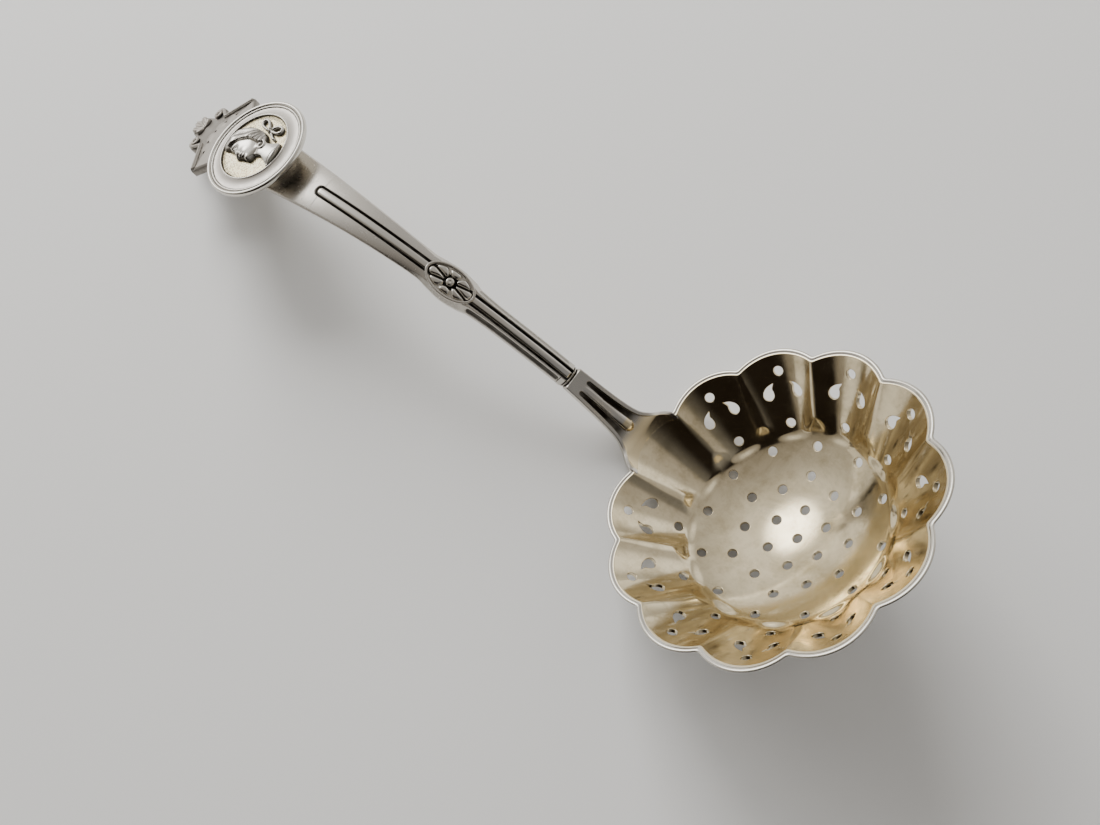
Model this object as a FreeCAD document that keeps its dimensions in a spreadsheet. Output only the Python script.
import FreeCAD, Part
import math
import os
import Sketcher
from FreeCAD import Placement, Rotation, Vector

# Sugar sifter spoon, lying at rest. Millimetres and degrees.
# +Z is up, the handle runs along +X and the spoon is alike on both sides of Y = 0.
# "Reach" is measured along the table from under the middle of the bowl's rim circle,
# and "height" from the table. The part's origin is on the table, under the middle of its length.

doc = FreeCAD.newDocument("SugarSifter")
sheet = doc.addObject("Spreadsheet::Sheet", "Sizes")

sizes = [
    ("rim_radius", 30.0, "circle through the cusps between lobes"),
    ("lobe_count", 12, "lobes round the bowl, the tongue among them"),
    ("lip_overhang", 2.55, "a lobe's tip beyond the cusp circle"),
    ("lip_rise", 0.6, "a lobe's tip above the cusps"),
    ("wall", 0.8, "thickness of the bowl's sheet"),
    ("field_depth", 18.9, "middle of the dish below the cusps"),
    ("crown_radius", 35.9, "flatter middle of the dish"),
    ("shoulder_radius", 8.0, "tighter outer part of the dish"),
    ("shoulder_start_angle", 32.0, "slope where the shoulder begins"),
    ("shoulder_end_angle", 80.0, "slope where the shoulder ends"),
    ("lobe_apex_reach", 11.1, "point of a lobe's cone, out from the bowl's axis"),
    ("lobe_apex_depth", 24.22, "point of a lobe's cone, below the cusps"),
    ("lobe_lean_angle", 75.04, "slope of a lobe cone's axis"),
    ("lobe_half_angle", 25.7, "half angle of a lobe's cone"),
    ("lobe_floor_start", 13.2, "from the cone's point to the lobe's blunt inner end"),
    ("lobe_floor_end", 33.0, "from the cone's point to where its tool ends, above the rim"),
    ("lobe_end_radius", 2.5, "rounding of the lobe's inner end"),
    ("rest_angle", 40.7, "tilt of the rim when the spoon lies down"),
    ("rest_flat_depth", 0.25, "worn flat under the tongue lobe"),
    ("hole_diameter", 1.9, "round piercings"),
    ("punch_length", 6.0, "length of a piercing tool"),
    ("inner_ring_radius", 6.15, "six field holes"),
    ("middle_ring_radius", 11.1, "six field holes"),
    ("outer_ring_radius", 13.1, "six field holes between them"),
    ("shoulder_ring_radius", 18.7, "twelve holes at the foot of the ridges"),
    ("field_turn_angle", -12.5, "turn of the middle holes about the bowl's axis"),
    ("lobe_inner_hole_radius", 22.74, "round hole low in a lobe"),
    ("lobe_outer_hole_radius", 30.18, "round hole near a lobe's tip"),
    ("comma_radius", 26.85, "pair of comma piercings"),
    ("comma_spread_angle", 6.56, "each comma off the lobe's middle line"),
    ("comma_body_radius", 0.9, "round body of a comma"),
    ("comma_tail_length", 2.4, "from the body's middle to the tip"),
    ("comma_hook", 0.55, "tip turned in towards the lobe's middle line"),
    ("neck_root_reach", 22.2, ""), ("neck_root_height", 2.35, "top of the neck under the tongue"),
    ("neck_lip_reach", 25.1, ""), ("neck_lip_height", 3.0, "top of the neck at the tongue's tip"),
    ("drop_reach", 29.3, ""), ("drop_height", 4.3, "top of the neck at the rib's drop"),
    ("neck_mid_reach", 36.7, ""), ("neck_mid_height", 8.0, ""),
    ("collar_reach", 43.8, ""), ("collar_height", 12.0, ""),
    ("shank_reach", 53.3, ""), ("shank_height", 15.6, ""),
    ("shank_top_reach", 62.5, ""), ("shank_top_height", 18.1, ""),
    ("rosette_reach", 75.3, ""), ("rosette_height", 20.7, ""),
    ("blade_low_reach", 91.0, ""), ("blade_low_height", 22.7, ""),
    ("blade_top_reach", 101.5, ""), ("blade_top_height", 22.7, "highest part of the handle"),
    ("blade_rib_end_reach", 112.3, ""), ("blade_rib_end_height", 21.3, "end of the upper channel"),
    ("medallion_reach", 131.0, ""), ("blade_seat_height", 16.3, "top of the blade under the medallion"),
    ("blade_end_reach", 143.0, ""), ("blade_end_height", 11.4, ""),
    ("neck_root_half_width", 7.4, ""), ("neck_root_thickness", 1.3, ""),
    ("neck_lip_half_width", 7.1, ""), ("neck_lip_thickness", 1.6, ""),
    ("flare_reach", 27.3, "where the neck narrows fastest"),
    ("flare_half_width", 5.1, ""), ("flare_thickness", 1.9, ""),
    ("drop_half_width", 4.0, ""), ("drop_thickness", 2.2, ""),
    ("neck_mid_half_width", 3.05, ""), ("neck_mid_thickness", 3.4, ""),
    ("collar_half_width", 2.65, ""), ("collar_thickness", 3.9, ""),
    ("neck_edge", 0.35, "bevel along the neck's rails"),
    ("rail_width", 0.62, "outer rails beside the sunk panel"),
    ("panel_depth", 0.8, "sunk panel of the neck"),
    ("panel_land", 2.6, "flat land between the panel and the collar"),
    ("drop_radius", 1.3, "rounded end of the neck's rib"),
    ("drop_rise", 0.5, "crown of the drop over the rails"),
    ("neck_rib_half_width", 0.85, "neck's rib at its narrow end"),
    ("collar_length", 1.0, "narrow ring between neck and stem"),
    ("collar_step", 0.35, "how far the ring is set in"),
    ("shank_half_width", 2.65, ""), ("shank_thickness", 3.9, ""),
    ("shank_top_half_width", 2.7, ""), ("shank_top_thickness", 3.7, ""),
    ("rosette_half_width", 3.0, "stem's half width at the rosette"),
    ("rosette_thickness", 3.5, ""),
    ("shank_flat", 1.5, "half width of the faceted stem's flat top"),
    ("shank_facet_drop", 1.5, "height of the slanted facet"),
    ("shank_under_flat", 1.4, "half width of the flat underside"),
    ("blade_low_half_width", 3.6, ""), ("blade_low_thickness", 2.9, ""),
    ("blade_top_half_width", 4.3, ""), ("blade_top_thickness", 2.6, ""),
    ("blade_rib_end_half_width", 5.1, ""), ("blade_rib_end_thickness", 2.4, ""),
    ("blade_seat_half_width", 6.5, ""), ("blade_seat_thickness", 2.1, ""),
    ("blade_end_half_width", 7.2, ""), ("blade_end_thickness", 1.7, ""),
    ("blade_crown", 0.45, "how far the blade's edges lie below its middle"),
    ("channel_half_width", 1.4, "channel that holds a rib"),
    ("channel_depth", 0.7, ""),
    ("rib_half_width", 0.78, "rib in the stem's channel"),
    ("rib_rise", 0.12, "crown of the rib over the channel's edges"),
    ("rosette_half_length", 6.05, "oval border"),
    ("rosette_half_breadth", 3.45, ""),
    ("rosette_border", 0.65, "width of the oval border"),
    ("rosette_seat_depth", 0.75, "oval seat sunk into the stem"),
    ("rosette_floor", 0.3, "floor of the oval dish"),
    ("rosette_rise", 0.45, "border over the stem's top"),
    ("petal_gap", 0.12, "between neighbouring petals and at their ends"),
    ("petal_height", 1.0, "above the dish's floor"),
    ("button_radius", 0.95, "boss in the rosette"),
    ("button_height", 1.25, "above the dish's floor"),
    ("medallion_radius", 12.8, ""),
    ("medallion_height", 20.0, "middle of the outer bead's top"),
    ("medallion_tilt_angle", 19.8, "rim plane falls towards the tip"),
    ("medallion_thickness", 1.4, "underside below the outer bead's top"),
    ("medallion_edge", 0.5, "bevel round the underside"),
    ("bead_width", 0.95, "outer bead of the border, with one half as wide inside it"),
    ("bead_rise", 0.3, ""),
    ("inner_bead_radius", 9.0, "outside of the narrow inner bead"),
    ("inner_bead_width", 0.45, ""),
    ("inner_bead_height", 0.5, "foot of the inner bead above the outer bead's foot"),
    ("cove_radius", 4.2, "hollow rising between the beads"),
    ("field_thickness", 0.6, "stippled disc laid in the border"),
    ("seat_radius", 5.0, "pad under the medallion"),
    ("head_reach", 1.4, "middle of the head from the medallion's middle, towards the tip"),
    ("head_offset", 1.2, "middle of the head towards the side that it faces"),
    ("head_half_height", 4.4, ""),
    ("head_half_depth", 3.6, ""),
    ("relief_height", 1.9, "crown of the head above the stippled disc"),
    ("bust_height", 0.9, "neck and bust above the stippled disc"),
    ("bust_reach", 7.9, "low edge of the bust, away from the tip"),
    ("bust_back", 2.9, "back point of the bust"),
    ("bust_front", 2.6, "front point of the bust"),
    ("neck_half_depth", 2.0, "neck below the head"),
    ("hair_thickness", 0.35, "hair over the back and top of the head"),
    ("bow_spread", 5.7, "middle of the bow behind the head"),
    ("bow_reach", 0.9, "middle of the bow, away from the tip"),
    ("bow_half_length", 1.9, "one loop of the bow"),
    ("bow_half_breadth", 0.95, ""),
    ("bow_height", 0.8, ""),
    ("bow_turn_angle", 20.0, "each loop leans away from the head"),
    ("finial_reach", 146.9, "line through the two corner points"),
    ("finial_slope_angle", 31.5, ""),
    ("finial_half_width", 11.6, "corner points"),
    ("finial_thickness", 1.6, ""),
    ("finial_back", 6.0, "plate behind its corner points"),
    ("finial_back_half_width", 7.6, ""),
    ("finial_shoulder", 6.4, "where the raking edges meet the scrolls"),
    ("finial_shoulder_half_width", 4.9, ""),
    ("finial_length", 16.6, "corner line to the palmette's tip"),
    ("cornice_width", 0.95, "raised border of the raking edges"),
    ("cornice_height", 0.45, ""),
    ("scroll_reach", 9.6, "middle of a volute, past the corner line"),
    ("scroll_spread", 4.6, "middle of a volute, from the middle line"),
    ("scroll_radius", 1.45, "middle of the volute's ring"),
    ("scroll_wire", 0.6, "radius of the volute's ring section"),
    ("palmette_radius", 2.9, "round end of the plate under the palmette"),
    ("leaf_count", 5, "leaves of the palmette"),
    ("leaf_spread_angle", 27.0, "between neighbouring leaves"),
    ("leaf_half_width", 1.0, "one leaf of the palmette"),
    ("leaf_height", 0.9, ""),
]

for row, (name, number, note) in enumerate(sizes, start=1):
    sheet.set("A%d" % row, name)
    sheet.set("B%d" % row, str(number))
    sheet.set("C%d" % row, note)
    sheet.setAlias("B%d" % row, name)
doc.recompute()


class Size:
    # A number together with the formula that it came from, so that a drawn
    # point and the expression that holds it always agree.
    def __init__(self, value, text):
        self.value = value
        self.text = text

    def __add__(self, other):
        return Size(self.value + value_of(other), "(%s + %s)" % (self.text, text_of(other)))

    def __sub__(self, other):
        return Size(self.value - value_of(other), "(%s - %s)" % (self.text, text_of(other)))

    def __mul__(self, other):
        return Size(self.value * value_of(other), "(%s * %s)" % (self.text, text_of(other)))

    def __truediv__(self, other):
        return Size(self.value / value_of(other), "(%s / %s)" % (self.text, text_of(other)))

    def __neg__(self):
        return Size(-self.value, "(0 - %s)" % self.text)


def value_of(item):
    return item.value if isinstance(item, Size) else item


def text_of(item):
    return item.text if isinstance(item, Size) else repr(item)


def size(name):
    return Size(float(sheet.get(name)), "Sizes." + name)


def number(name):
    return float(sheet.get(name))


def sine(angle):
    return Size(math.sin(math.radians(angle.value)), "sin(%s)" % angle.text)


def cosine(angle):
    return Size(math.cos(math.radians(angle.value)), "cos(%s)" % angle.text)


def tangent(angle):
    return Size(math.tan(math.radians(angle.value)), "tan(%s)" % angle.text)


ZERO = Size(0.0, "0")


def origin_plane(body, role):
    return [item for item in body.Origin.OriginFeatures if item.Role == role][0]


def draw(body, name, role, corners, axis=None):
    # Closed outline. A corner is (x, y), or (x, y, radius, turn) where the stretch
    # to the next corner is an arc; turn is 1 for a left-hand and -1 for a right-hand arc.
    sketch = body.newObject("Sketcher::SketchObject", name)
    sketch.AttachmentSupport = (origin_plane(body, role), [""])
    sketch.MapMode = "FlatFace"
    count = len(corners)
    for index, corner in enumerate(corners):
        start = Vector(corner[0].value, corner[1].value, 0)
        following = corners[(index + 1) % count]
        end = Vector(following[0].value, following[1].value, 0)
        if len(corner) == 2:
            sketch.addGeometry(Part.LineSegment(start, end), False)
            continue
        radius = corner[2].value
        middle = (start + end) * 0.5
        chord = end - start
        left = Vector(-chord.y, chord.x, 0).normalize()
        reach = math.sqrt(max(radius ** 2 - (chord.Length / 2) ** 2, 0))
        sagitta = left * (-corner[3]) * (radius - reach)
        sketch.addGeometry(Part.Arc(start, middle + sagitta, end), False)
    for index, corner in enumerate(corners):
        geometry = sketch.Geometry[index]
        first = 1
        if len(corner) > 2 and corner[3] < 0:
            first = 2
        following = corners[(index + 1) % count]
        next_first = 2 if len(following) > 2 and following[3] < 0 else 1
        sketch.addConstraint(Sketcher.Constraint("Coincident", index, 3 - first,
                                                 (index + 1) % count, next_first))
        hold_point(sketch, index, first, corner[0], corner[1])
        if len(corner) > 2:
            number_of = sketch.addConstraint(Sketcher.Constraint("Radius", index, geometry.Radius))
            bind(sketch, number_of, corner[2])
    if axis is not None:
        line = Part.LineSegment(Vector(axis[0][0].value, axis[0][1].value, 0),
                                Vector(axis[1][0].value, axis[1][1].value, 0))
        index = sketch.addGeometry(line, True)
        hold_point(sketch, index, 1, axis[0][0], axis[0][1])
        hold_point(sketch, index, 2, axis[1][0], axis[1][1])
    doc.recompute()
    return sketch


def hold_point(sketch, index, end, x, y):
    if x is ZERO:
        sketch.addConstraint(Sketcher.Constraint("PointOnObject", index, end, -2))
    else:
        bind(sketch, sketch.addConstraint(
            Sketcher.Constraint("DistanceX", -1, 1, index, end, x.value)), x)
    if y is ZERO:
        sketch.addConstraint(Sketcher.Constraint("PointOnObject", index, end, -1))
    else:
        bind(sketch, sketch.addConstraint(
            Sketcher.Constraint("DistanceY", -1, 1, index, end, y.value)), y)


def bind(sketch, index, item):
    sketch.setExpression("Constraints[%d]" % index, item.text)


def body_of(name, placement):
    body = doc.addObject("PartDesign::Body", name)
    body.Label = name
    body.Placement = placement
    return body


def revolve(body, name, kind, sketch, axis):
    feature = body.newObject("PartDesign::" + kind, name)
    feature.Profile = sketch
    feature.ReferenceAxis = (sketch, [axis])
    feature.Angle = 360.0
    sketch.Visibility = False
    doc.recompute()
    return feature


def round_pattern(body, name, feature, count):
    pattern = body.newObject("PartDesign::PolarPattern", name)
    pattern.Originals = [feature]
    pattern.Axis = (origin_axis(body), [""])
    pattern.Angle = 360.0
    pattern.Occurrences = int(count.value)
    pattern.setExpression("Occurrences", count.text)
    body.Tip = pattern
    doc.recompute()
    return pattern


def origin_axis(body):
    return [item for item in body.Origin.OriginFeatures if item.Role == "Z_Axis"][0]


def solid_feature(name, shape, placement):
    feature = doc.addObject("Part::Feature", name)
    feature.Label = name
    feature.Shape = shape
    feature.Placement = placement
    return feature


# The bowl's own frame: origin at the middle of the cusp circle, Z out of the opening,
# X towards the handle.

lean = size("lobe_lean_angle")
half_angle = size("lobe_half_angle")
wall = size("wall")


def lobe_outline(grown):
    # Half section of a lobe's rounded cone, in the plane of the lobe's middle line,
    # and the cone's axis. The outside of the sheet is the same cone, grown by the wall.
    along_x = cosine(lean)
    along_z = sine(lean)
    point_x = size("lobe_apex_reach")
    point_z = -size("lobe_apex_depth")
    radius = size("lobe_end_radius") + grown
    start = size("lobe_floor_start") - grown
    middle = start + radius
    spread = (middle * sine(half_angle) - size("lobe_end_radius")) / cosine(half_angle)
    end = size("lobe_floor_end")
    end_spread = end * tangent(half_angle) + grown / cosine(half_angle)

    def place(distance, off):
        x = point_x + distance * along_x + off * along_z
        z = point_z + distance * along_z - off * along_x
        return x, z

    blunt = place(start, ZERO)
    foot = place(start, spread)
    turn_along = middle - radius * sine(half_angle)
    turn_off = spread + radius * cosine(half_angle)
    turn = place(turn_along, turn_off)
    top = place(end, end_spread)
    centre = place(end, ZERO)
    outline = [blunt, (foot[0], foot[1], radius, 1), turn, top, centre]
    return outline, (blunt, centre)


def dish_outline(grown, top):
    crown = size("crown_radius") + grown
    shoulder = size("shoulder_radius") + grown
    begin = size("shoulder_start_angle")
    finish = size("shoulder_end_angle")
    bottom = -(size("field_depth") + grown)
    crown_z = bottom + crown
    turn = (crown * sine(begin), crown_z - crown * cosine(begin))
    shoulder_x = turn[0] - shoulder * sine(begin)
    shoulder_z = turn[1] + shoulder * cosine(begin)
    brim = (shoulder_x + shoulder * sine(finish), shoulder_z - shoulder * cosine(finish))
    return [(ZERO, bottom, crown, 1), (turn[0], turn[1], shoulder, 1), brim,
            (brim[0], top), (ZERO, top)]


def floor_centre():
    # Middle of the rounding at a lobe's inner end, in the lobe's plane.
    middle = number("lobe_floor_start") + number("lobe_end_radius")
    sin_half = math.sin(math.radians(number("lobe_half_angle")))
    cos_half = math.cos(math.radians(number("lobe_half_angle")))
    off = (middle * sin_half - number("lobe_end_radius")) / cos_half
    cos_lean = math.cos(math.radians(number("lobe_lean_angle")))
    sin_lean = math.sin(math.radians(number("lobe_lean_angle")))
    x = number("lobe_apex_reach") + middle * cos_lean + off * sin_lean
    z = -number("lobe_apex_depth") + middle * sin_lean - off * cos_lean
    return x, z


sin_rest = math.sin(math.radians(number("rest_angle")))
cos_rest = math.cos(math.radians(number("rest_angle")))
lowest_radius = number("lobe_end_radius") + number("wall")
floor_x, floor_z = floor_centre()
rim_height = floor_x * sin_rest - floor_z * cos_rest + lowest_radius - number("rest_flat_depth")

# Length of the whole spoon, from the far lobe's outer edge to the palmette's tip.
lip_slope = number("lip_rise") / number("lip_overhang")
floor_slope = math.radians(number("lobe_lean_angle") - number("lobe_half_angle"))
outer_apex_x = number("lobe_apex_reach") + number("wall") * math.sin(floor_slope)
outer_apex_z = -number("lobe_apex_depth") - number("wall") * math.cos(floor_slope)
edge_radius = ((outer_apex_x * math.tan(floor_slope) - outer_apex_z - lip_slope * number("rim_radius"))
               / (math.tan(floor_slope) - lip_slope))
edge_height = lip_slope * (edge_radius - number("rim_radius"))
far_reach = edge_height * sin_rest - edge_radius * cos_rest
sin_slope = math.sin(math.radians(number("finial_slope_angle")))
cos_slope = math.cos(math.radians(number("finial_slope_angle")))
tip_reach = number("finial_reach") + number("finial_length") * cos_slope
middle_reach = (tip_reach + far_reach) / 2

table = Placement(Vector(-middle_reach, 0, 0), Rotation())
bowl_place = Placement(Vector(-middle_reach, 0, rim_height),
                       Rotation(Vector(0, 1, 0), number("rest_angle")))

# Bowl blank: a dish joined to twelve lobes, hollowed by the same shapes a wall smaller.

blank = body_of("bowl_blank", Placement())
trim_top = size("rim_radius")
dish_top = size("lip_rise")
revolve(blank, "dish", "Revolution",
        draw(blank, "dish_section", "XZ_Plane", dish_outline(wall, dish_top)), "V_Axis")
outline, axis = lobe_outline(wall)
lobe = revolve(blank, "lobe", "Revolution",
               draw(blank, "lobe_section", "XZ_Plane", outline, axis), "Axis0")
round_pattern(blank, "lobes", lobe, size("lobe_count"))
rise = size("lip_rise") / size("lip_overhang")
trim_overrun_share = 4
trim_reach = size("rim_radius") + size("lip_overhang") * trim_overrun_share
filled_bowl = revolve(blank, "rim_trim", "Groove",
                      draw(blank, "rim_section", "XZ_Plane", [
                          (ZERO, -(rise * size("rim_radius"))),
                          (trim_reach, rise * (trim_reach - size("rim_radius"))),
                          (trim_reach, trim_top),
                          (ZERO, trim_top)]), "V_Axis")
revolve(blank, "hollow", "Groove",
        draw(blank, "hollow_section", "XZ_Plane", dish_outline(ZERO, trim_top)), "V_Axis")
outline, axis = lobe_outline(ZERO)
scoop = revolve(blank, "scoop", "Groove",
                draw(blank, "scoop_section", "XZ_Plane", outline, axis), "Axis0")
round_pattern(blank, "scoops", scoop, size("lobe_count"))

# Piercings. Every tool is square to the sheet where it goes through.


def dish_point(radius):
    # Depth and slope of the dish at a distance from the bowl's axis.
    begin = math.radians(number("shoulder_start_angle"))
    crown = number("crown_radius")
    shoulder = number("shoulder_radius")
    turn = crown * math.sin(begin)
    bottom = -number("field_depth")
    if radius <= turn:
        slope = math.asin(radius / crown)
        return bottom + crown * (1 - math.cos(slope)), slope
    slope = math.asin(math.sin(begin) + (radius - turn) / shoulder)
    rise_to_turn = crown * (1 - math.cos(begin))
    return bottom + rise_to_turn + shoulder * (math.cos(begin) - math.cos(slope)), slope


def lobe_point(radius, off_angle):
    # Point on a lobe's inside, and the outward normal there, for the lobe that points along X.
    axis = Vector(math.cos(math.radians(number("lobe_lean_angle"))), 0,
                  math.sin(math.radians(number("lobe_lean_angle"))))
    apex = Vector(number("lobe_apex_reach"), 0, -number("lobe_apex_depth"))
    opening = math.cos(math.radians(number("lobe_half_angle"))) ** 2
    turned = math.radians(off_angle)
    flat = Vector(radius * math.cos(turned) - apex.x, radius * math.sin(turned), 0)
    square = axis.z ** 2 - opening
    middle = 2 * flat.x * axis.x * axis.z
    rest_term = (flat.x * axis.x) ** 2 - opening * flat.Length ** 2
    drop = (-middle - math.sqrt(middle ** 2 - 4 * square * rest_term)) / (2 * square)
    other = (-middle + math.sqrt(middle ** 2 - 4 * square * rest_term)) / (2 * square)
    heights = [z for z in (drop, other) if flat.x * axis.x + z * axis.z > 0]
    spoke = Vector(flat.x, flat.y, min(heights))
    distance = spoke.dot(axis)
    outward = (spoke - axis * distance).normalize()
    tilt = math.radians(number("lobe_half_angle"))
    normal = outward * math.cos(tilt) - axis * math.sin(tilt)
    return apex + spoke, normal


punches = []


def add_round_punch(point, normal):
    punch = doc.addObject("Part::Cylinder", "punch")
    punch.setExpression("Radius", "Sizes.hole_diameter / 2")
    punch.setExpression("Height", "Sizes.punch_length")
    start = point - normal * (number("punch_length") / 2)
    punch.Placement = Placement(start, Rotation(Vector(0, 0, 1), normal))
    punches.append(punch)


def add_comma_punch(point, normal, along, side):
    # The tail points to the lobe's tip and hooks in towards the lobe's middle line.
    body = number("comma_body_radius")
    tail = number("comma_tail_length")
    hook = number("comma_hook")
    belly_share, waist_share = 0.62, 0.42
    inner = Vector(0, body, 0)
    outer = Vector(0, -body, 0)
    tip = Vector(tail, hook, 0)
    edges = [
        Part.Arc(inner, Vector(-body, 0, 0), outer),
        Part.Arc(outer, Vector(tail * belly_share, hook - body * belly_share, 0), tip),
        Part.Arc(tip, Vector(tail * waist_share, body * belly_share, 0), inner),
    ]
    face = Part.Face(Part.Wire([edge.toShape() for edge in edges]))
    tool = face.extrude(Vector(0, 0, number("punch_length")))
    if side < 0:
        tool = tool.mirror(Vector(0, 0, 0), Vector(0, 1, 0))
    turn = Rotation(along, normal.cross(along), normal, "XZY")
    start = point - normal * (number("punch_length") / 2)
    punches.append(solid_feature("comma", tool, Placement(start, turn)))


def around(vector, degrees):
    return Rotation(Vector(0, 0, 1), degrees).multVec(vector)


def punch_field(radius, count, first_angle):
    for index in range(count):
        depth, slope = dish_point(radius)
        degrees = first_angle + index * 360 / count
        point = around(Vector(radius, 0, depth), degrees)
        normal = around(Vector(math.sin(slope), 0, -math.cos(slope)), degrees)
        add_round_punch(point, normal)


lobe_count = int(number("lobe_count"))
lobe_step = 360 / lobe_count
field_count = 6
turn_angle = number("field_turn_angle")
punch_field(0, 1, 0)
punch_field(number("inner_ring_radius"), field_count, turn_angle)
punch_field(number("middle_ring_radius"), field_count, turn_angle + 180 / field_count)
punch_field(number("outer_ring_radius"), field_count, turn_angle)
punch_field(number("shoulder_ring_radius"), lobe_count, lobe_step / 2)

for index in range(1, lobe_count):
    degrees = index * lobe_step
    for name in ("lobe_inner_hole_radius", "lobe_outer_hole_radius"):
        point, normal = lobe_point(number(name), 0)
        add_round_punch(around(point, degrees), around(normal, degrees))
    for side in (1, -1):
        spread = number("comma_spread_angle")
        point, normal = lobe_point(number("comma_radius"), -side * spread)
        further = lobe_point(number("comma_radius") + number("wall"), -side * spread)[0]
        along = (further - point).normalize()
        add_comma_punch(around(point, degrees), around(normal, degrees), around(along, degrees), side)

table_slab = doc.addObject("Part::Box", "table_slab")
table_slab.setExpression("Length", "Sizes.rim_radius")
table_slab.setExpression("Width", "Sizes.rim_radius")
table_slab.setExpression("Height", "Sizes.punch_length")
slab_start_share = 0.25
slab_corner = Vector(-middle_reach - number("rim_radius") * slab_start_share,
                     -number("rim_radius") / 2, -number("punch_length"))
table_slab.Placement = bowl_place.inverse() * Placement(slab_corner, Rotation())
punches.append(table_slab)

piercing = doc.addObject("Part::Compound", "piercing")
piercing.Links = punches
bowl = doc.addObject("Part::Cut", "bowl")
bowl.Label = "bowl"
bowl.Base = blank
bowl.Tool = piercing
doc.recompute()
bowl.Placement = bowl_place
doc.recompute()

# The handle's top line, through its stations.

stations = [
    ("neck_root_reach", "neck_root_height"), ("neck_lip_reach", "neck_lip_height"),
    ("drop_reach", "drop_height"), ("neck_mid_reach", "neck_mid_height"),
    ("collar_reach", "collar_height"), ("shank_reach", "shank_height"),
    ("shank_top_reach", "shank_top_height"), ("rosette_reach", "rosette_height"),
    ("blade_low_reach", "blade_low_height"), ("blade_top_reach", "blade_top_height"),
    ("blade_rib_end_reach", "blade_rib_end_height"), ("medallion_reach", "blade_seat_height"),
    ("blade_end_reach", "blade_end_height"),
]
arch = Part.BSplineCurve()
arch.interpolate([Vector(number(reach), 0, number(height)) for reach, height in stations])
halvings = 40


def on_arch(reach):
    # Place on the handle's top line: X along the handle, Z square to its top.
    low, high = arch.FirstParameter, arch.LastParameter
    for _ in range(halvings):
        middle = (low + high) / 2
        if arch.value(middle).x < reach:
            low = middle
        else:
            high = middle
    tangent = arch.tangent(low)[0]
    across = Vector(0, 1, 0)
    return Placement(arch.value(low), Rotation(tangent, across, tangent.cross(across), "XYZ"))


def section(reach, corners, crown=None):
    # Closed section square to the handle. corners go round from +Y at the top to -Y at the
    # top; the last stretch is straight, or an arc through a crown point.
    place = on_arch(reach)
    points = [place.multVec(Vector(0, y, z)) for y, z in corners]
    edges = [Part.LineSegment(start, end).toShape() for start, end in zip(points, points[1:])]
    if crown is None:
        edges.append(Part.LineSegment(points[-1], points[0]).toShape())
    else:
        edges.append(Part.Arc(points[-1], place.multVec(Vector(0, 0, crown)), points[0]).toShape())
    return Part.Wire(edges)


def both_sides(half):
    return half + [(-y, z) for y, z in reversed(half)]


under_facet_share = 0.65
neck_side_share = 0.55
neck_under_share = 0.6
blade_side_share = 0.3
blade_under_share = 0.62


def faceted_section(reach, half_width, thickness):
    drop = number("shank_facet_drop")
    under = thickness - drop * under_facet_share
    return section(reach, both_sides([
        (number("shank_flat"), 0), (half_width, -drop), (half_width, -under),
        (number("shank_under_flat"), -thickness)]))


def neck_section(reach, half_width, thickness):
    edge = number("neck_edge")
    return section(reach, both_sides([
        (half_width - edge, 0), (half_width, -edge), (half_width, -thickness * neck_side_share),
        (half_width * neck_under_share, -thickness)]))


def blade_section(reach, half_width, thickness):
    crown = number("blade_crown")
    return section(reach, both_sides([
        (half_width, -crown), (half_width, -crown - thickness * blade_side_share),
        (half_width * blade_under_share, -thickness)]), 0)


bar_sections = 13


def eased(rows, reach, column):
    # Value of one column at a reach, from rows that start with their reach. It passes
    # smoothly through every row and doesn't overshoot between rows.
    spans = [(b[0] - a[0], (b[column] - a[column]) / (b[0] - a[0])) for a, b in zip(rows, rows[1:])]
    slopes = [spans[0][1]]
    for (_, before), (_, after) in zip(spans, spans[1:]):
        slopes.append(2 * before * after / (before + after) if before * after > 0 else 0)
    slopes.append(spans[-1][1])
    index = sum(1 for row in rows[1:-1] if reach > row[0])
    length = spans[index][0]
    t = (reach - rows[index][0]) / length
    first, last = rows[index][column], rows[index + 1][column]
    return (first + (last - first) * t * t * (3 - 2 * t)
            + length * t * (1 - t) * ((1 - t) * slopes[index] - t * slopes[index + 1]))


def bar(draw_section, names, start=None):
    # Solid along the handle. names holds the stations' names: each has a reach, a half
    # width and a thickness in the sheet. It may start past its first station.
    rows = [tuple(number(part) for part in name) for name in names]
    reaches = spaced(start or rows[0][0], rows[-1][0], bar_sections)
    return loft([draw_section(reach, eased(rows, reach, 1), eased(rows, reach, 2)) for reach in reaches])


def spaced(first, last, count):
    return [first + (last - first) * index / (count - 1) for index in range(count)]


def loft(wires):
    return Part.makeLoft(wires, True, False)


def layer(levels, top):
    # Solid between two lines that follow the handle's top line: levels holds (reach, depth)
    # pairs for the lower one, and the upper one lies at a steady height over them.
    lower = [on_arch(reach).multVec(Vector(0, 0, -depth)) for reach, depth in levels]
    upper = [on_arch(reach).multVec(Vector(0, 0, top)) for reach, depth in levels]
    edges = []
    for points in (lower, upper):
        curve = Part.BSplineCurve()
        curve.interpolate(points)
        edges.append(curve.toShape())
    edges.insert(1, Part.LineSegment(lower[-1], upper[-1]).toShape())
    edges.append(Part.LineSegment(upper[0], lower[0]).toShape())
    width = number("finial_half_width")
    face = Part.Face(Part.Wire(Part.__sortEdges__(edges)))
    face.translate(Vector(0, -width, 0))
    return face.extrude(Vector(0, 2 * width, 0))


def upright(edges):
    # Plan outline made into a tall prism.
    tall = number("rim_radius")
    face = Part.Face(Part.Wire(Part.__sortEdges__(edges)))
    face.translate(Vector(0, 0, -tall))
    return face.extrude(Vector(0, 0, 2 * tall))


def plan_lines(points):
    closed = points + points[:1]
    return [Part.LineSegment(start, end).toShape() for start, end in zip(closed, closed[1:])]


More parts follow.
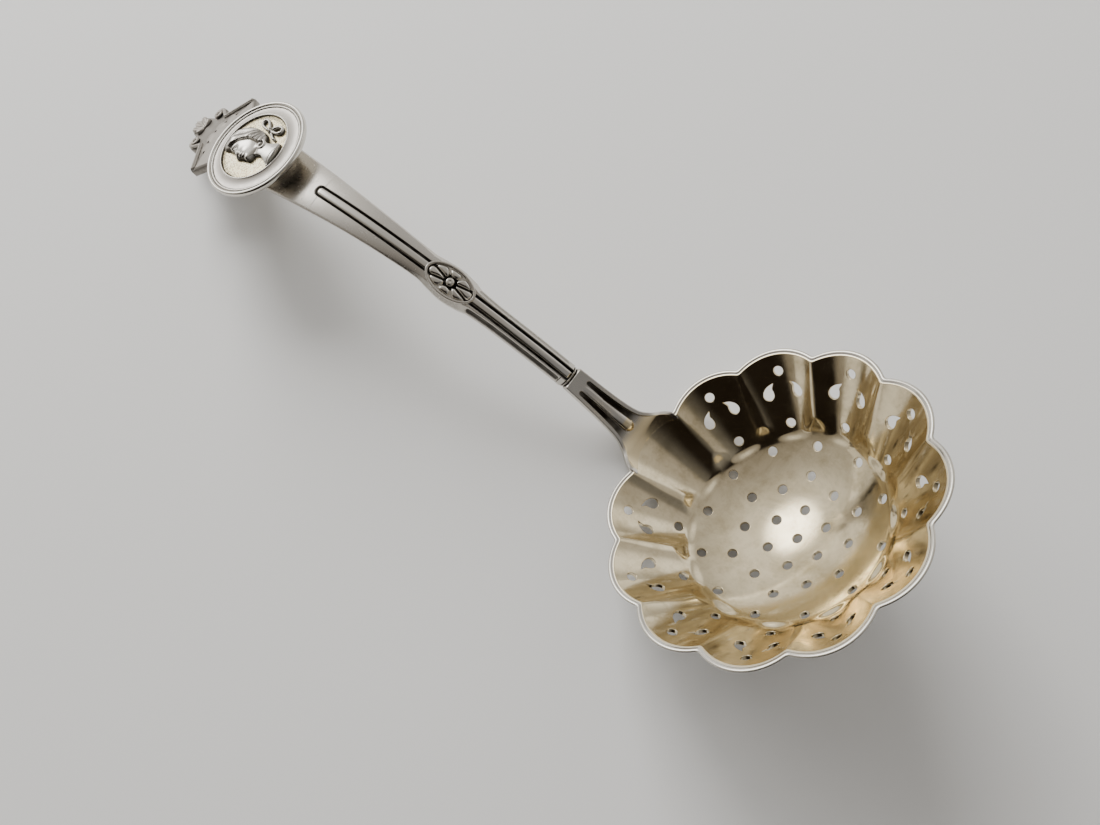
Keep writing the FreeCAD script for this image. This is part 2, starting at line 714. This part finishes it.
def plan_points(half):
    return [Vector(x, y, 0) for x, y in both_plan_sides(half)]


def both_plan_sides(half):
    return half + [(x, -y) for x, y in reversed(half)]


def slot(start, start_width, end, end_width, round_start, round_end):
    # Plan outline of a channel or rib along X. A rounded end bulges past its station by
    # its half width.
    far_left, far_right = Vector(end, end_width, 0), Vector(end, -end_width, 0)
    near_left, near_right = Vector(start, start_width, 0), Vector(start, -start_width, 0)
    edges = [Part.LineSegment(near_left, far_left).toShape(),
             Part.LineSegment(far_right, near_right).toShape()]
    if round_end:
        edges.append(Part.Arc(far_left, Vector(end + end_width, 0, 0), far_right).toShape())
    else:
        edges.append(Part.LineSegment(far_left, far_right).toShape())
    if round_start:
        edges.append(Part.Arc(near_right, Vector(start - start_width, 0, 0), near_left).toShape())
    else:
        edges.append(Part.LineSegment(near_right, near_left).toShape())
    return upright(edges)


def cut_piece(name, base, tools):
    piece = base
    for index, tool in enumerate(tools):
        last = index == len(tools) - 1
        base = piece
        piece = doc.addObject("Part::Cut", name if last else name + "_rough")
        piece.Base = base
        piece.Tool = tool
    piece.Label = name
    return piece


# Neck. It seats under the tongue lobe and against its lip. A sunk panel between two rails
# runs out over the tongue.

root, lip = number("neck_root_reach"), number("neck_lip_reach")
flare, drop = number("flare_reach"), number("drop_reach")
neck_mid, collar_at = number("neck_mid_reach"), number("collar_reach")
panel_depth = number("panel_depth")
panel_end = collar_at - number("panel_land")

neck_rows = [
    ("neck_root_reach", "neck_root_half_width", "neck_root_thickness"),
    ("neck_lip_reach", "neck_lip_half_width", "neck_lip_thickness"),
    ("flare_reach", "flare_half_width", "flare_thickness"),
    ("drop_reach", "drop_half_width", "drop_thickness"),
    ("neck_mid_reach", "neck_mid_half_width", "neck_mid_thickness"),
    ("collar_reach", "collar_half_width", "collar_thickness"),
]
neck_blank = solid_feature("neck_blank", bar(neck_section, neck_rows), table)
bowl_space = solid_feature("bowl_space", filled_bowl.Shape,
                           bowl_place * filled_bowl.Shape.Placement)
rail = number("rail_width") + number("neck_edge")
panel_plan = upright(plan_lines(plan_points([
    (lip, number("neck_lip_half_width") - rail),
    (flare, number("flare_half_width") - rail),
    (drop, number("drop_half_width") - rail),
    (neck_mid, number("neck_mid_half_width") - rail),
    (panel_end, number("collar_half_width") - rail),
])))
panel_stations = 4
panel_levels = [(lip, 0), (flare, panel_depth / 2)] + [
    (reach, panel_depth) for reach in spaced(drop, collar_at, panel_stations)]
panel_tool = solid_feature("neck_panel", panel_plan.common(layer(panel_levels, panel_depth)), table)
neck = cut_piece("neck", neck_blank, [bowl_space, panel_tool])


def rib_section(reach, half_width, rise, depth):
    # A rib has a crowned top. Its foot starts out deeper than the channel's floor.
    return section(reach, both_sides([(half_width, 0), (half_width, -depth - number("rib_rise"))]), rise)


rib_rise = number("rib_rise")
drop_radius = number("drop_radius")
neck_rib_half = number("neck_rib_half_width")
rib_rows = [
    (drop - drop_radius, drop_radius, rib_rise),
    (drop, drop_radius, number("drop_rise")),
    ((drop + neck_mid) / 2, (drop_radius + neck_rib_half) / 2, rib_rise),
    (neck_mid, neck_rib_half, rib_rise),
    (panel_end, neck_rib_half, rib_rise),
]
rib_loft = loft([
    rib_section(reach, eased(rib_rows, reach, 1), eased(rib_rows, reach, 2), panel_depth)
    for reach in spaced(drop - drop_radius, panel_end, bar_sections)])
rib_end = slot(drop, drop_radius, panel_end, drop_radius, True, False)
neck_rib_blank = solid_feature("neck_rib_blank", rib_loft.common(rib_end), table)
neck_rib = cut_piece("neck_rib", neck_rib_blank, [neck])

# Collar: a narrow ring, set in from the neck and the stem.

collar_end = collar_at + number("collar_length")
step = number("collar_step")
shank_flat = number("shank_flat")
facet = number("shank_facet_drop")


def ring_section(reach):
    place = on_arch(reach)
    inset = both_sides([
        (shank_flat - step, -step), (number("collar_half_width") - step, -facet),
        (number("collar_half_width") - step, -number("collar_thickness") + facet * under_facet_share),
        (number("shank_under_flat") - step, -number("collar_thickness") + step)])
    points = [place.multVec(Vector(0, y, z)) for y, z in inset]
    return Part.makePolygon(points + points[:1])


collar = solid_feature("collar", loft([ring_section(collar_at), ring_section(collar_end)]), table)

# Rosette frame: on the stem's top, X along the stem.

rosette_at = number("rosette_reach")
rosette_place = table * on_arch(rosette_at)
seat_depth = number("rosette_seat_depth")


def oval(inset, low, high):
    # Upright oval solid on the rosette's middle.
    border = Part.Ellipse(Vector(0, 0, low), number("rosette_half_length") - inset,
                          number("rosette_half_breadth") - inset)
    return Part.Face(Part.Wire([border.toShape()])).extrude(Vector(0, 0, high - low))


rosette_top = number("rosette_half_breadth")
rosette_seat = solid_feature("rosette_seat", oval(0, -seat_depth, rosette_top), rosette_place)

# Lower stem: faceted, with a channel and its rib on top.

channel = number("channel_depth")
channel_half = number("channel_half_width")
rib_half = number("rib_half_width")
channel_stations = 8
# The ribs end at the rosette's border, however deep their channel lies there.
rib_stop = solid_feature("rib_stop", oval(0, -seat_depth - number("rosette_thickness"), rosette_top),
                         rosette_place)


def channel_tool(name, start, end, round_end):
    plan = slot(start, channel_half, end, channel_half, False, round_end)
    reaches = spaced(start, end + channel_half, channel_stations)
    return solid_feature(name, plan.common(layer([(reach, channel) for reach in reaches], channel)), table)


def rib_in_channel(name, start, end, round_end, neighbours):
    reaches = spaced(start, end + rib_half, channel_stations)
    length = loft([rib_section(reach, rib_half, rib_rise, channel) for reach in reaches])
    plan = slot(start, rib_half, end, rib_half, False, round_end)
    blank_rib = solid_feature(name + "_blank", length.common(plan), table)
    return cut_piece(name, blank_rib, neighbours)


shank_rows = [
    ("collar_reach", "collar_half_width", "collar_thickness"),
    ("shank_reach", "shank_half_width", "shank_thickness"),
    ("shank_top_reach", "shank_top_half_width", "shank_top_thickness"),
    ("rosette_reach", "rosette_half_width", "rosette_thickness"),
]
shank_loft = bar(faceted_section, shank_rows, collar_end)
shank_blank = solid_feature("shank_blank", shank_loft, table)
lower_channel = channel_tool("lower_channel", collar_at, rosette_at, False)
lower_stem = cut_piece("lower_stem", shank_blank, [lower_channel, rosette_seat])
lower_rib = rib_in_channel("lower_rib", collar_end, rosette_at, False, [lower_stem, rib_stop])

# Upper stem: a crowned blade that widens and bends down to the finial.

blade_rib_end = number("blade_rib_end_reach")
blade_rows = [
    ("rosette_reach", "rosette_half_width", "rosette_thickness"),
    ("blade_low_reach", "blade_low_half_width", "blade_low_thickness"),
    ("blade_top_reach", "blade_top_half_width", "blade_top_thickness"),
    ("blade_rib_end_reach", "blade_rib_end_half_width", "blade_rib_end_thickness"),
    ("medallion_reach", "blade_seat_half_width", "blade_seat_thickness"),
    ("blade_end_reach", "blade_end_half_width", "blade_end_thickness"),
]
blade_blank = solid_feature("blade_blank", bar(blade_section, blade_rows), table)
upper_channel = channel_tool("upper_channel", rosette_at, blade_rib_end - channel_half, True)
upper_stem = cut_piece("upper_stem", blade_blank, [upper_channel, rosette_seat])
upper_rib = rib_in_channel("upper_rib", rosette_at, blade_rib_end - channel_half, True,
                           [upper_stem, rib_stop])

# Rosette: an oval dish with a border, eight petals and a round button.

border = number("rosette_border")
dish_floor = number("rosette_floor") - seat_depth
bezel_shape = oval(0, -seat_depth, number("rosette_rise")).cut(
    oval(border, dish_floor, rosette_top))
rosette_bezel = solid_feature("rosette_bezel", bezel_shape, rosette_place)

# A petal is drawn in a round flower as wide as the dish, and the flower is then stretched
# to the dish's length.
petal_count = 8
gap = number("petal_gap")
flower_half_length = number("rosette_half_length") - border - gap
flower_half_breadth = number("rosette_half_breadth") - border - gap
petal_shoulder_share = 0.82
half_petal = math.pi / petal_count
petal_root = gap / 2 / math.sin(half_petal)
shoulder = flower_half_breadth * petal_shoulder_share
shoulder_left = Vector(shoulder * math.cos(half_petal) + petal_root, shoulder * math.sin(half_petal), 0)
shoulder_right = Vector(shoulder_left.x, -shoulder_left.y, 0)
petal_edges = [
    Part.LineSegment(Vector(petal_root, 0, 0), shoulder_left).toShape(),
    Part.Arc(shoulder_left, Vector(flower_half_breadth, 0, 0), shoulder_right).toShape(),
    Part.LineSegment(shoulder_right, Vector(petal_root, 0, 0)).toShape(),
]
petal = Part.Face(Part.Wire(petal_edges)).extrude(Vector(0, 0, number("petal_height")))
stretch = FreeCAD.Matrix()
stretch.scale(Vector(flower_half_length / flower_half_breadth, 1, 1))
button_clearance = Part.makeCylinder(number("button_radius") + gap, number("petal_height"))
petals = []
for index in range(petal_count):
    turned = petal.copy()
    turned.rotate(Vector(), Vector(0, 0, 1), index * 360 / petal_count)
    petals.append(turned.transformGeometry(stretch).cut(button_clearance))
on_dish_floor = rosette_place * Placement(Vector(0, 0, dish_floor), Rotation())
rosette_petals = solid_feature("rosette_petals", Part.makeCompound(petals), on_dish_floor)

rosette_button = body_of("rosette_button", on_dish_floor)
button_radius = size("button_radius")
button_height = size("button_height")
button_crown_share = 1.25
button_side = button_height - button_radius / 2
revolve(rosette_button, "boss", "Revolution",
        draw(rosette_button, "boss_section", "XZ_Plane", [
            (ZERO, ZERO), (button_radius, ZERO),
            (button_radius, button_side, button_radius * button_crown_share, 1),
            (ZERO, button_height)]), "V_Axis")

# Medallion frame: middle of the outer bead's top, Z out of the face, X towards the tip.

medallion_place = Placement(Vector(number("medallion_reach") - middle_reach, 0, number("medallion_height")),
                            Rotation(Vector(0, 1, 0), number("medallion_tilt_angle")))
disc = size("medallion_radius")
bead = size("bead_width")
bead_foot = -size("bead_rise")
bead_arc = (bead * bead / 4 + bead_foot * bead_foot) / (size("bead_rise") * 2)
second_bead = bead / 2
cove_start = disc - bead - second_bead
inner = size("inner_bead_radius")
inner_width = size("inner_bead_width")
inner_foot = bead_foot + size("inner_bead_height")
small_arc_share = 0.6
field_floor = inner_foot - size("field_thickness")
underside = -size("medallion_thickness")
edge = size("medallion_edge")

medallion_rim = body_of("medallion_rim", medallion_place)
revolve(medallion_rim, "border", "Revolution",
        draw(medallion_rim, "border_section", "XZ_Plane", [
            (ZERO, underside), (disc - edge, underside), (disc, underside + edge),
            (disc, bead_foot, bead_arc, 1),
            (disc - bead, bead_foot, second_bead * small_arc_share, 1),
            (cove_start, bead_foot, size("cove_radius"), -1),
            (inner, inner_foot, inner_width * small_arc_share, 1),
            (inner - inner_width, inner_foot), (inner - inner_width, field_floor),
            (ZERO, field_floor)]), "V_Axis")

medallion_field = doc.addObject("Part::Cylinder", "medallion_field")
medallion_field.Label = "medallion_field"
medallion_field.setExpression("Radius", "Sizes.inner_bead_radius - Sizes.inner_bead_width")
medallion_field.setExpression("Height", "Sizes.field_thickness")
medallion_field.Placement = medallion_place * Placement(Vector(0, 0, field_floor.value), Rotation())

pad = doc.addObject("Part::Cylinder", "medallion_pad")
pad.setExpression("Radius", "Sizes.seat_radius")
pad.setExpression("Height", "(Sizes.medallion_height - Sizes.blade_seat_height)"
                            " * cos(Sizes.medallion_tilt_angle * 1 deg)"
                            " - Sizes.medallion_thickness + Sizes.blade_seat_thickness / 2")
doc.recompute()
pad.Placement = medallion_place * Placement(Vector(0, 0, underside.value - pad.Height.Value), Rotation())
medallion_seat = cut_piece("medallion_seat", pad, [upper_stem])

# Relief on the disc: a head in profile above a pointed bust, the face towards +Y.

relief_place = medallion_place * Placement(Vector(0, 0, inner_foot.value), Rotation())


def half_ball(name, x, y, half_x, half_y, high, turn=0):
    # Upper half of an ellipsoid, with sizes given as formulas.
    ball = doc.addObject("Part::Ellipsoid", name)
    ball.Angle1 = 0
    ball.setExpression("Radius1", high.text)
    ball.setExpression("Radius2", half_x.text)
    ball.setExpression("Radius3", half_y.text)
    middle = Placement(Vector(value_of(x), value_of(y), 0), Rotation(Vector(0, 0, 1), turn))
    ball.Placement = relief_place * middle
    return ball


def fuse(name, shapes):
    joined = doc.addObject("Part::MultiFuse", name)
    joined.Label = name
    joined.Shapes = shapes
    return joined


head_x, head_y = size("head_reach"), size("head_offset")
head_half, head_depth = size("head_half_height"), size("head_half_depth")
skull = half_ball("skull", head_x, head_y, head_half, head_depth, size("relief_height"))
neck_depth = number("neck_half_depth")
neck_forward_share = 0.4
breast_bend_share = (0.35, -0.1)
back_bend_share = (0.35, -0.3)
back_point_share = 0.9
hem_bow_share = 0.3
neck_front = head_y.value + neck_depth * neck_forward_share
neck_back = neck_front - 2 * neck_depth
neck_top = head_x.value
jaw = head_x.value - head_half.value
low = -number("bust_reach")
front = Vector(low, number("bust_front"), 0)
back = Vector(low * back_point_share, -number("bust_back"), 0)
front_bend = Vector(jaw + low * breast_bend_share[0], neck_front + neck_depth * breast_bend_share[1], 0)
back_bend = Vector(jaw + low * back_bend_share[0], neck_back + neck_depth * back_bend_share[1], 0)
hem_middle = (front + back) * 0.5 - Vector(neck_depth * hem_bow_share, 0, 0)
bust_edges = [
    Part.LineSegment(Vector(neck_top, neck_front, 0), Vector(jaw, neck_front, 0)).toShape(),
    Part.Arc(Vector(jaw, neck_front, 0), front_bend, front).toShape(),
    Part.Arc(front, hem_middle, back).toShape(),
    Part.Arc(back, back_bend, Vector(jaw, neck_back, 0)).toShape(),
    Part.LineSegment(Vector(jaw, neck_back, 0), Vector(neck_top, neck_back, 0)).toShape(),
    Part.LineSegment(Vector(neck_top, neck_back, 0), Vector(neck_top, neck_front, 0)).toShape(),
]
bust_face = Part.Face(Part.Wire(bust_edges))
bust = solid_feature("bust", bust_face.extrude(Vector(0, 0, number("bust_height"))), relief_place)
medallion_head = fuse("medallion_head", [skull, bust])

hair = size("hair_thickness")
cap = half_ball("cap", head_x + hair, head_y - hair, head_half + hair / 2, head_depth + hair,
                size("relief_height") + hair / 2)
medallion_hair = cut_piece("medallion_hair", cap, [medallion_head])

bow_x, bow_y = -size("bow_reach"), -size("bow_spread")
loop, loop_wide = size("bow_half_length"), size("bow_half_breadth")
hair_back = head_y - head_depth - hair
knot_half = (hair_back - bow_y) / 2
bow_turn = number("bow_turn_angle")
bow = fuse("bow_blank", [
    half_ball("upper_loop", bow_x + loop, bow_y, loop, loop_wide, size("bow_height"), bow_turn),
    half_ball("lower_loop", bow_x - loop, bow_y, loop, loop_wide, size("bow_height"), -bow_turn),
    half_ball("knot", bow_x, bow_y + knot_half, loop_wide, knot_half + loop_wide / 2, size("bow_height"))])
medallion_bow = cut_piece("medallion_bow", bow, [medallion_hair, medallion_head])

# Finial frame: on the plate's top, middle of the line through its corner points,
# X down the slope. The plate's tip touches the table.

finial_height = number("finial_length") * sin_slope + number("finial_thickness") * cos_slope
finial_place = Placement(Vector(number("finial_reach") - middle_reach, 0, finial_height),
                         Rotation(Vector(0, 1, 0), number("finial_slope_angle")))
plate_place = finial_place * Placement(Vector(0, 0, -number("finial_thickness")), Rotation())

pediment = body_of("pediment", plate_place)
palmette_neck_share = 0.8
palmette_middle = size("finial_length") - size("palmette_radius")
half_outline = [
    (-size("finial_back"), size("finial_back_half_width")),
    (ZERO, size("finial_half_width")),
    (size("finial_shoulder"), size("finial_shoulder_half_width")),
    (palmette_middle, size("palmette_radius") * palmette_neck_share),
]
pediment_sketch = draw(pediment, "pediment_outline", "XY_Plane",
                       [(x, -y) for x, y in half_outline] + list(reversed(half_outline)))
slab = pediment.newObject("PartDesign::Pad", "slab")
slab.Profile = pediment_sketch
slab.setExpression("Length", "Sizes.finial_thickness")
doc.recompute()


def round_plate(name, x, y, radius):
    plate = doc.addObject("Part::Cylinder", name)
    plate.setExpression("Radius", radius.text)
    plate.setExpression("Height", "Sizes.finial_thickness")
    plate.Placement = plate_place * Placement(Vector(x.value, y.value, 0), Rotation())
    return plate


scroll_x, scroll_y = size("scroll_reach"), size("scroll_spread")
scroll_outside = size("scroll_radius") + size("scroll_wire")
plate_blank = fuse("finial_blank", [
    pediment,
    round_plate("left_scroll_plate", scroll_x, scroll_y, scroll_outside),
    round_plate("right_scroll_plate", scroll_x, -scroll_y, scroll_outside),
    round_plate("palmette_plate", palmette_middle, ZERO, size("palmette_radius"))])
finial_plate = cut_piece("finial_plate", plate_blank, [upper_stem])

corner = Vector(0, number("finial_half_width"), 0)
shoulder_point = Vector(number("finial_shoulder"), number("finial_shoulder_half_width"), 0)
rake = (shoulder_point - corner).normalize()
inward = Vector(rake.y, -rake.x, 0) * number("cornice_width")
cornice = Part.Face(Part.Wire(plan_lines([
    corner, shoulder_point, shoulder_point + inward, corner + inward])))
cornice = cornice.extrude(Vector(0, 0, number("cornice_height")))
other_cornice = cornice.mirror(Vector(), Vector(0, 1, 0))
finial_cornice = solid_feature("finial_cornice", Part.makeCompound([cornice, other_cornice]), finial_place)

rings = []
for side in (1, -1):
    middle = finial_place * Placement(Vector(scroll_x.value, side * scroll_y.value, 0), Rotation())
    ring = doc.addObject("Part::Torus", "scroll_ring")
    ring.setExpression("Radius1", "Sizes.scroll_radius")
    ring.setExpression("Radius2", "Sizes.scroll_wire")
    ring.Placement = middle
    eye = doc.addObject("Part::Sphere", "scroll_eye")
    eye.setExpression("Radius", "(Sizes.scroll_radius - Sizes.scroll_wire) / 2")
    eye.Placement = middle
    rings += [ring, eye]
ring_group = doc.addObject("Part::Compound", "scroll_rings")
ring_group.Links = rings
finial_scrolls = cut_piece("finial_scrolls", ring_group, [finial_plate, pediment])

leaf_start_share = 0.12
leaf_root = size("finial_length") - size("palmette_radius") * 2
leaves = []
leaf_count = int(number("leaf_count"))
for index in range(leaf_count):
    angle = (index - (leaf_count - 1) / 2) * number("leaf_spread_angle")
    cosine_of = math.cos(math.radians(angle))
    chord = size("palmette_radius") * (cosine_of * 2)
    half_length = chord * ((1 - leaf_start_share) / 2)
    from_root = chord.value - half_length.value
    leaf = doc.addObject("Part::Ellipsoid", "leaf")
    leaf.setExpression("Radius1", half_length.text)
    leaf.setExpression("Radius2", "Sizes.leaf_height")
    leaf.setExpression("Radius3", "Sizes.leaf_half_width")
    leaf_middle = Vector(leaf_root.value + from_root * cosine_of,
                         from_root * math.sin(math.radians(angle)), 0)
    lying = Rotation(Vector(0, 0, 1), angle) * Rotation(Vector(0, 1, 0), 90)
    leaf.Placement = finial_place * Placement(leaf_middle, lying)
    leaves.append(leaf)
palmette_blank = fuse("palmette_blank", leaves)
below_plate = doc.addObject("Part::Box", "below_plate")
below_plate.setExpression("Length", "Sizes.finial_length * 2")
below_plate.setExpression("Width", "Sizes.finial_length")
below_plate.setExpression("Height", "Sizes.finial_thickness")
below_plate.Placement = finial_place * Placement(
    Vector(0, -number("finial_length") / 2, -number("finial_thickness")), Rotation())
finial_palmette = cut_piece("finial_palmette", palmette_blank, [below_plate])

doc.recompute()

pieces = [bowl, neck, neck_rib, collar, lower_stem, lower_rib, rosette_bezel, rosette_petals,
          rosette_button, upper_stem, upper_rib, medallion_rim, medallion_field, medallion_head,
          medallion_hair, medallion_bow, medallion_seat, finial_plate, finial_cornice,
          finial_scrolls, finial_palmette]

for item in doc.Objects:
    assert "Invalid" not in item.State and "Error" not in item.State, "%s failed" % item.Name
for piece in pieces:
    assert not piece.Shape.isNull(), "%s is empty" % piece.Label
    assert piece.Shape.isValid(), "%s is not valid" % piece.Label
    assert piece.Shape.Solids, "%s has no solid" % piece.Label
    print(piece.Label, len(piece.Shape.Solids), round(piece.Shape.Volume, 2))

os.makedirs("parts", exist_ok=True)
for piece in pieces:
    piece.Shape.exportStep("parts/%s.step" % piece.Label)
